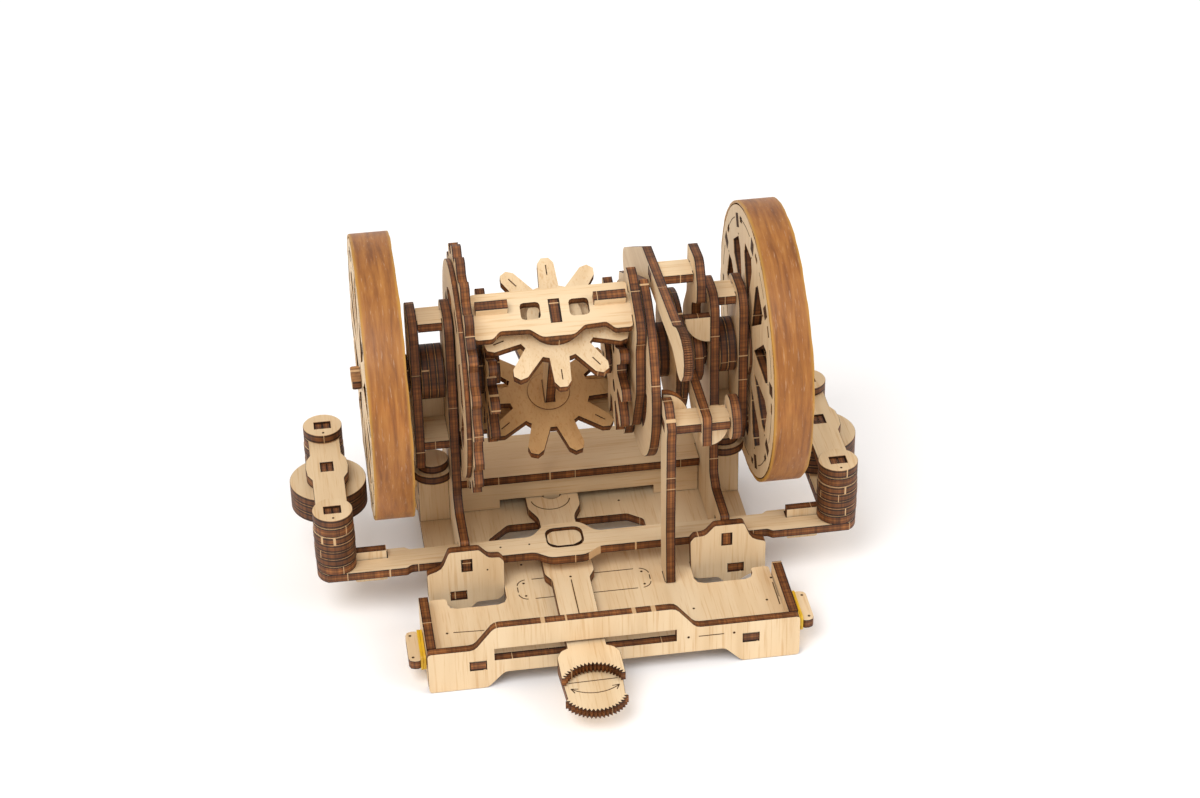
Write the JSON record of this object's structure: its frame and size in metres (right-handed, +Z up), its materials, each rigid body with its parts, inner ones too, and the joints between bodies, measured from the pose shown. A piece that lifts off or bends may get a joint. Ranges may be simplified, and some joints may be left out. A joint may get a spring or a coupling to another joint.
{
  "type": "wooden differential model",
  "caption": "Plywood desk model of a car differential: spoked wheels with rubber tyres, open gear cage, swinging selector lever, side brake rollers and a lock lever.",
  "frame": {"origin": "middle of the footprint of the whole model, on the table", "axes": "+X along the main axle to the right wheel, +Y from the selector's thumb end to the rear, +Z up"},
  "size_m": [0.1866, 0.1516, 0.1187],
  "materials": {
    "birch_plywood": "pale sanded birch plywood with laser-darkened edges",
    "burnt_plywood": "laser-darkened plywood edge",
    "tyre_rubber": "translucent amber rubber band, satin",
    "band_rubber": "yellow rubber band, satin"
  },
  "bodies": {
    "frame": {"front_panel": "birch_plywood", "base_plate": "birch_plywood", "left_end_panel": "birch_plywood", "right_end_panel": "birch_plywood", "left_rubber_band": "band_rubber", "right_rubber_band": "band_rubber", "left_bracket": "birch_plywood", "right_bracket": "birch_plywood", "left_side_plate": "birch_plywood", "right_side_plate": "birch_plywood", "left_outer_post": "birch_plywood", "right_outer_post": "birch_plywood", "left_post_tie": "birch_plywood", "right_post_tie": "birch_plywood", "left_foot_discs": "birch_plywood", "right_foot_discs": "birch_plywood", "rear_web": "birch_plywood", "rear_shelf": "birch_plywood", "rear_wall": "birch_plywood", "tall_plate": "birch_plywood", "stop_tie": "birch_plywood", "stop_bar": "birch_plywood", "stop_cap": "birch_plywood"},
    "selector": {"selector_lever": "birch_plywood", "selector_toe": "birch_plywood", "selector_key": "birch_plywood"},
    "brake_frame": {"crossbar": "birch_plywood", "left_foot_plate": "birch_plywood", "right_foot_plate": "birch_plywood", "left_lower_arm": "birch_plywood", "right_lower_arm": "birch_plywood", "left_upper_arm": "birch_plywood", "right_upper_arm": "birch_plywood", "front_left_stack": "birch_plywood", "front_right_stack": "birch_plywood", "rear_left_stack": "birch_plywood", "rear_right_stack": "birch_plywood"},
    "left_brake_roller": {"left_roller": "birch_plywood"},
    "right_brake_roller": {"right_roller": "birch_plywood"},
    "carrier": {"ring_gear": "birch_plywood", "backing_plate": "birch_plywood", "carrier_plate": "birch_plywood", "flange_plate": "birch_plywood", "upper_cross_plate": "birch_plywood", "lower_cross_plate": "birch_plywood", "spider_axle": "birch_plywood"},
    "upper_spider": {"upper_spider_gear": "birch_plywood"},
    "lower_spider": {"lower_spider_gear": "birch_plywood"},
    "left_drive": {"left_axle": "burnt_plywood", "left_wheel": "birch_plywood", "left_tyre": "tyre_rubber", "left_side_gear": "birch_plywood"},
    "right_drive": {"right_axle": "burnt_plywood", "right_wheel": "birch_plywood", "right_tyre": "tyre_rubber", "right_side_gear": "birch_plywood"},
    "lock": {"lock_lever": "birch_plywood", "lock_tie": "birch_plywood", "lock_fork": "birch_plywood"}
  },
  "joints": [
    {"name": "selector_swing", "type": "hinge", "parent": "frame", "child": "selector", "pos_m": [-0.0076, 0.0343, 0.0106], "axis": [0, 0, 1], "range_deg": [-1, 1]},
    {"name": "brake_shift", "type": "slide", "parent": "frame", "child": "brake_frame", "axis": [1, 0, 0], "range_m": [-0.00065, 0.00065]},
    {"name": "left_roller_spin", "type": "hinge", "parent": "brake_frame", "child": "left_brake_roller", "pos_m": [-0.081, 0.0268, 0.0244], "axis": [0, 0, 1], "continuous": true},
    {"name": "right_roller_spin", "type": "hinge", "parent": "brake_frame", "child": "right_brake_roller", "pos_m": [0.081, 0.0268, 0.0244], "axis": [0, 0, 1], "continuous": true},
    {"name": "carrier_spin", "type": "hinge", "parent": "frame", "child": "carrier", "pos_m": [-0.0076, 0.0233, 0.0734], "axis": [1, 0, 0], "continuous": true},
    {"name": "left_wheel_spin", "type": "hinge", "parent": "carrier", "child": "left_drive", "pos_m": [-0.0076, 0.0233, 0.0734], "axis": [1, 0, 0], "continuous": true},
    {"name": "right_wheel_spin", "type": "hinge", "parent": "carrier", "child": "right_drive", "pos_m": [-0.0076, 0.0233, 0.0734], "axis": [1, 0, 0], "continuous": true},
    {"name": "upper_spider_spin", "type": "hinge", "parent": "carrier", "child": "upper_spider", "pos_m": [-0.0076, 0.0233, 0.0734], "axis": [0, -0.4602, 0.8878], "continuous": true},
    {"name": "lower_spider_spin", "type": "hinge", "parent": "carrier", "child": "lower_spider", "pos_m": [-0.0076, 0.0233, 0.0734], "axis": [0, -0.4602, 0.8878], "continuous": true},
    {"name": "lock_swing", "type": "hinge", "parent": "frame", "child": "lock", "pos_m": [-0.0076, 0.0233, 0.0734], "axis": [1, 0, 0], "range_deg": [-3, 8]}
  ],
  "couplings": [
    {"joint": "brake_shift", "follows": "selector_swing", "m_per_rad": 0.0362},
    {"joint": "right_wheel_spin", "follows": "left_wheel_spin", "ratio": -1},
    {"joint": "upper_spider_spin", "follows": "left_wheel_spin", "ratio": 1.1},
    {"joint": "lower_spider_spin", "follows": "left_wheel_spin", "ratio": -1.1}
  ]
}
